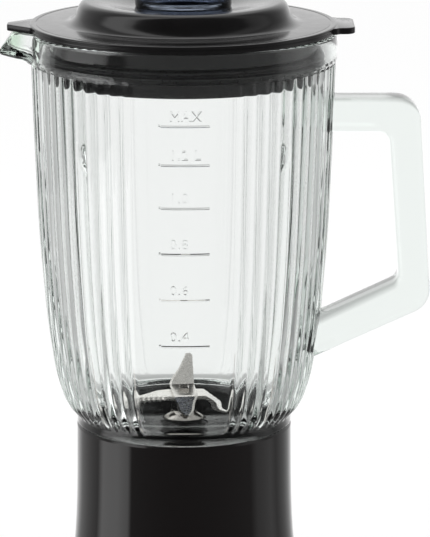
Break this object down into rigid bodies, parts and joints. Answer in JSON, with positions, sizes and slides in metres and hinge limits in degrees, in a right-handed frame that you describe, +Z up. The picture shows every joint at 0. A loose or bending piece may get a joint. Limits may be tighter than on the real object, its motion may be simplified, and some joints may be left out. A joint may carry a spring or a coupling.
{
  "type": "countertop blender",
  "caption": "Countertop blender: black motor base with a speed knob, fluted glass jug with handle and spout, steel blades, black lid and smoky measuring cap.",
  "frame": {"origin": "centre of the base on the worktop, on the axis of the blades and the motor", "axes": "+Z up along the blade axis; -Y is the front with the speed knob; +X towards the handle; -X towards the spout"},
  "size_m": [0.1891, 0.1477, 0.357],
  "materials": {
    "clear_glass": "moulded, clear, slightly green",
    "smoky_plastic": "transparent smoky grey",
    "satin_black": "satin moulded black",
    "gloss_black": "polished black",
    "black_plastic": "moulded black",
    "red_plastic": "moulded insulator",
    "white_plastic": "moulded",
    "stainless": "brushed stainless",
    "blade_steel": "ground and punched stainless",
    "plated_steel": "bright zinc plated",
    "bezel_chrome": "bright",
    "spring_steel": "drawn wire",
    "laminated_iron": "stacked sheet",
    "copper": "enamelled copper wire",
    "bronze": "sintered bronze",
    "cast_aluminium": "die cast",
    "carbon": "pressed carbon",
    "silicone": "food-grade silicone",
    "black_rubber": "moulded rubber"
  },
  "bodies": {
    "base": {"base_housing": "gloss_black", "bottom_cover": "black_plastic", "rubber_feet": "black_rubber", "cover_screws": "plated_steel", "knob_bezel": "bezel_chrome", "rotary_switch": "white_plastic", "interlock_spring": "spring_steel", "microswitch": "red_plastic", "motor_stator": "laminated_iron", "field_coils": "copper", "upper_bearing": "bronze", "lower_bearing": "bronze", "upper_bracket": "cast_aluminium", "lower_bracket": "cast_aluminium", "brush_holders": "red_plastic", "carbon_brushes": "carbon", "brush_springs": "spring_steel", "motor_bolts": "plated_steel", "motor_mounts": "black_rubber", "mount_screws": "plated_steel", "motor_shaft_seal": "black_rubber", "cord_gland": "black_rubber", "terminal_block": "white_plastic"},
    "motor_rotor": {"motor_shaft": "stainless", "armature_core": "laminated_iron", "armature_windings": "copper", "commutator": "copper", "cooling_fan": "black_plastic", "drive_coupling": "black_plastic"},
    "knob": {"speed_knob": "satin_black", "knob_spindle": "plated_steel"},
    "interlock": {"interlock_pin": "black_plastic"},
    "jug": {"glass_jug": "clear_glass", "jug_seal": "silicone", "blade_holder": "satin_black", "bearing_hub": "stainless", "upper_bush": "bronze", "lower_bush": "bronze", "blade_shaft_seal": "black_rubber"},
    "blade_rotor": {"blade_shaft": "stainless", "blade_spacer": "stainless", "lower_blade": "blade_steel", "upper_blade": "blade_steel", "thrust_washer": "stainless", "driven_coupling": "black_plastic"},
    "lid": {"lid": "satin_black", "lid_seal": "silicone"},
    "cap": {"measuring_cap": "smoky_plastic"}
  },
  "joints": [
    {"name": "motor_spin", "type": "hinge", "parent": "base", "child": "motor_rotor", "pos_m": [0, 0, 0.08], "axis": [0, 0, 1], "continuous": true},
    {"name": "knob_turn", "type": "hinge", "parent": "base", "child": "knob", "pos_m": [0, -0.059, 0.053], "axis": [0, -0.963, 0.2696], "range_deg": [-90, 45]},
    {"name": "jug_lift", "type": "slide", "parent": "base", "child": "jug", "axis": [0, 0, 1], "range_m": [0, 0.06]},
    {"name": "interlock_slide", "type": "slide", "parent": "base", "child": "interlock", "axis": [0, 0, 1], "range_m": [0, 0.003], "deforming": ["interlock_spring"]},
    {"name": "blade_spin", "type": "hinge", "parent": "jug", "child": "blade_rotor", "pos_m": [0, 0, 0.15], "axis": [0, 0, 1], "continuous": true},
    {"name": "lid_lift", "type": "slide", "parent": "jug", "child": "lid", "axis": [0, 0, 1], "range_m": [0, 0.04]},
    {"name": "cap_lift", "type": "slide", "parent": "lid", "child": "cap", "axis": [0, 0, 1], "range_m": [0, 0.025]}
  ],
  "couplings": [
    {"joint": "blade_spin", "follows": "motor_spin", "ratio": 1},
    {"joint": "interlock_slide", "follows": "jug_lift", "ratio": 0.05}
  ]
}
